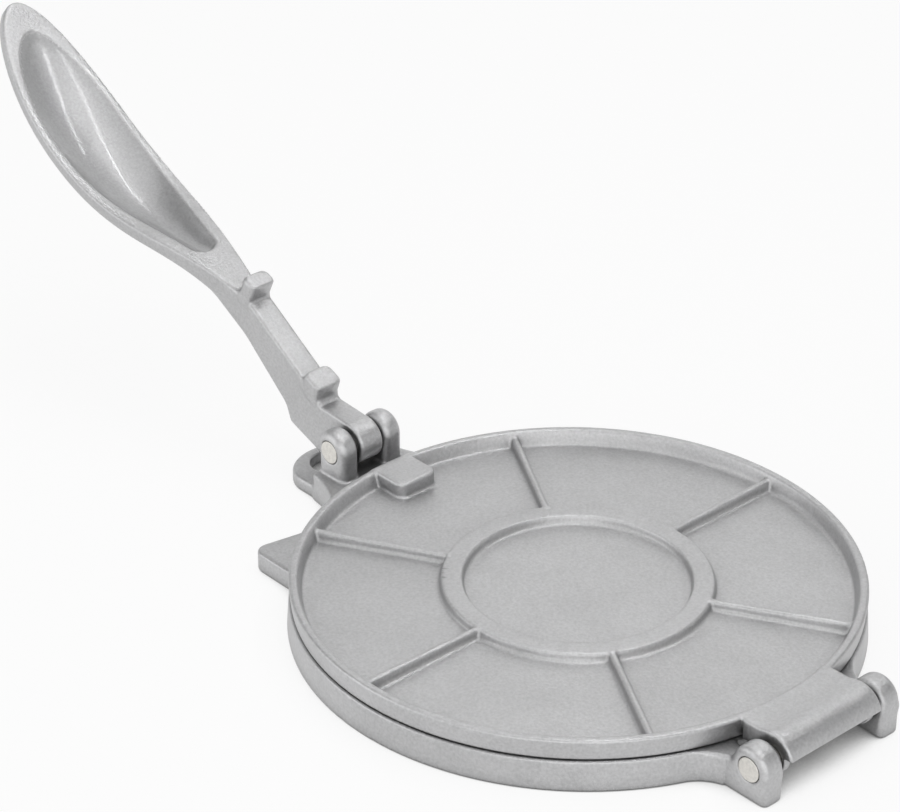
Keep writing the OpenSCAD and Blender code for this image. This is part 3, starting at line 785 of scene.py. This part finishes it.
FLOOR_HALF = 4.0
FLOOR_Z = -0.0003
FLOOR_GLOW = 0.88


def floor():
    """White paper that glows a little less where the press closes it in: an ambient occlusion node
    dims the glow there, a painted shadow.
    """
    data = bpy.data.meshes.new("floor")
    corners = [(i * FLOOR_HALF, j * FLOOR_HALF, 0) for i, j in ((-1, -1), (1, -1), (1, 1), (-1, 1))]
    data.from_pydata(corners, [], [(0, 1, 2, 3)])
    plane = bpy.data.objects.new("floor", data)
    plane.location.z = FLOOR_Z
    bpy.context.scene.collection.objects.link(plane)
    material = bpy.data.materials.new("white_paper")
    material.use_nodes = True
    nodes, links = material.node_tree.nodes, material.node_tree.links
    out = nodes["Material Output"]
    paper = nodes["Principled BSDF"]
    paper.inputs["Base Color"].default_value = (0.85, 0.85, 0.85, 1)
    paper.inputs["Roughness"].default_value = 1
    paper.inputs["Specular IOR Level"].default_value = 0
    glow = nodes.new("ShaderNodeEmission")
    share = nodes.new("ShaderNodeMath")
    share.operation = "MULTIPLY"
    share.inputs[1].default_value = FLOOR_GLOW
    links.new(seen_rays(nodes, links), share.inputs[0])
    # Painted shadow: the glow is dimmed where the press closes the paper in, as in the tongue's
    # hole.
    painted_shadow_ao = nodes.new("ShaderNodeAmbientOcclusion")
    painted_shadow_ao.samples = 12
    painted_shadow_ao.inputs["Distance"].default_value = 0.03
    painted_shadow_glow = map_range(nodes, links, painted_shadow_ao.outputs["AO"], (0.15, 0.5), (0.1, 1))
    links.new(painted_shadow_glow, glow.inputs["Strength"])
    mix = nodes.new("ShaderNodeMixShader")
    links.new(share.outputs[0], mix.inputs["Fac"])
    links.new(paper.outputs[0], mix.inputs[1])
    links.new(glow.outputs[0], mix.inputs[2])
    links.new(mix.outputs[0], out.inputs["Surface"])
    data.materials.append(material)


LAMP_DISTANCE = 1.3
TUBE_WIDTH = 0.02
SCOOP_MIDDLE = (0.28, 0, 0.09)
BACKDROP = (0.3, 0.7)


def area_light(name, width, height, watts):
    data = bpy.data.lights.new(name, "AREA")
    data.shape = "RECTANGLE"
    data.size, data.size_y = width, height
    data.energy = watts
    obj = bpy.data.objects.new(name, data)
    bpy.context.scene.collection.objects.link(obj)
    return obj


def lamp(name, azimuth, elevation, width, height, watts):
    """A soft lamp that looks at the press from a direction given in degrees."""
    a, e = math.radians(azimuth), math.radians(elevation)
    way = Vector((math.cos(a) * math.cos(e), math.sin(a) * math.cos(e), math.sin(e)))
    obj = area_light(name, width, height, watts)
    obj.location = way * LAMP_DISTANCE
    obj.rotation_euler = way.to_track_quat("Z", "Y").to_euler()


def tube(name, start, end, watts):
    """A thin lamp between two points, which draws a streak along the scoop."""
    start, end = Vector(start), Vector(end)
    along = (end - start).normalized()
    middle = (start + end) / 2
    back = middle - Vector(SCOOP_MIDDLE)
    back = (back - along * back.dot(along)).normalized()
    obj = area_light(name, (end - start).length, TUBE_WIDTH, watts)
    obj.matrix_world = Matrix((along, back.cross(along), back)).transposed().to_4x4()
    obj.location = middle


def lighting():
    world = bpy.data.worlds.new("studio")
    bpy.context.scene.world = world
    world.use_nodes = True
    nodes, links = world.node_tree.nodes, world.node_tree.links
    ambient = nodes["Background"]
    ambient.inputs["Color"].default_value = (1, 1, 1, 1)
    ambient.inputs["Strength"].default_value = 0.2
    white = nodes.new("ShaderNodeBackground")
    white.inputs["Strength"].default_value = 1
    # The white backdrop stands all round, and the studio's ceiling is dimmer.
    place = nodes.new("ShaderNodeTexCoord")
    split = nodes.new("ShaderNodeSeparateXYZ")
    links.new(place.outputs["Generated"], split.inputs[0])
    backdrop = map_range(nodes, links, split.outputs["Z"], BACKDROP, (1, 0))
    share = nodes.new("ShaderNodeMath")
    share.operation = "MULTIPLY"
    links.new(seen_rays(nodes, links), share.inputs[0])
    links.new(backdrop, share.inputs[1])
    mix = nodes.new("ShaderNodeMixShader")
    links.new(share.outputs[0], mix.inputs["Fac"])
    links.new(ambient.outputs[0], mix.inputs[1])
    links.new(white.outputs[0], mix.inputs[2])
    links.new(mix.outputs[0], nodes["World Output"].inputs["Surface"])
    lamp("top", 0, 90, 1.6, 1.6, 8.0)
    tube("near_tube", (-0.74, -0.30, 1.29), (0.40, -1.26, 1.29), 2.0)
    tube("far_tube", (-0.80, 0.23, 1.29), (1.00, -0.88, 1.29), 2.2)
    lamp("back", -43, 33, 1.2, 1.2, 1.75)
    lamp("front", 138, 22, 1.9, 1.2, 7.6)
    lamp("side", 58, 23, 1.2, 1.2, 4.0)


def camera():
    """The photograph's view. The origin lands on ORIGIN_PIXEL of a frame of FRAME pixels."""
    data = bpy.data.cameras.new("camera")
    data.sensor_width = 36
    data.lens = 36 * FOCAL_PIXELS / FRAME[0]
    data.clip_start, data.clip_end = 0.05, 20
    azimuth, elevation = math.radians(AZIMUTH), math.radians(ELEVATION)
    flat = math.cos(elevation)
    back = Vector((math.sin(azimuth) * flat, -math.cos(azimuth) * flat, math.sin(elevation)))
    right = Vector((math.cos(azimuth), math.sin(azimuth), 0))
    up = back.cross(right)
    across = (ORIGIN_PIXEL[0] - FRAME[0] / 2) / FOCAL_PIXELS
    down = (ORIGIN_PIXEL[1] - FRAME[1] / 2) / FOCAL_PIXELS
    obj = bpy.data.objects.new("camera", data)
    obj.matrix_world = Matrix((right, up, back)).transposed().to_4x4()
    obj.location = DISTANCE * (back - right * across + up * down)
    bpy.context.scene.collection.objects.link(obj)
    bpy.context.scene.camera = obj


# Scene ----------------------------------------------------------------------------------------

VOXEL = 0.5
ADAPTIVITY = 0.01

CAST_TINT = (0.51, 0.51, 0.515)
# The scoop's tint is darker than the casting's: painted shade in the concave scoop.
SCOOP_PAINTED_SHADE_TINT = (0.42, 0.42, 0.425)
PIN_TINT = (0.72, 0.70, 0.66)

base_metal = cast_aluminium("base_aluminium", CAST_TINT, 0.4, 1.0)
top_metal = cast_aluminium("top_aluminium", CAST_TINT, 0.4, 2.0)
lever_metal = cast_aluminium("lever_aluminium", CAST_TINT, 0.38, 3.0, sandy=1.4)
scoop_metal = cast_aluminium("scoop_aluminium", SCOOP_PAINTED_SHADE_TINT, 0.42, 3.0, sandy=0.7, coat=0.6)
pin_metal = cast_aluminium("pin_metal", PIN_TINT, 0.4, 4.0)

pieces = [
    (base_casting(VOXEL, ADAPTIVITY), "base", "base_platen", "base_casting", base_metal),
    (top_casting(VOXEL, ADAPTIVITY), "lid", "top_platen", "top_casting", top_metal),
    (lever_casting(VOXEL * 0.8, ADAPTIVITY), "lever", "lever", "lever_casting", lever_metal),
    (pin("hinge_pin_bar", HINGE_X, HINGE_Z, EAR_Y[1]), "base", "hinge_pin", "pins", pin_metal),
    (pin("lever_pin_bar", PIVOT_X, PIVOT_Z, CLEVIS_Y[1]), "base", "lever_pin", "pins", pin_metal),
]
for piece, body, node, slot, metal in pieces:
    piece.data.materials.append(metal)
    if body == "lever":
        piece.data.materials.append(scoop_metal)
    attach(piece, body)
    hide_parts(node)

floor()
lighting()
camera()

scene = bpy.context.scene
scene.view_settings.view_transform = "Standard"
bpy.context.view_layer.update()
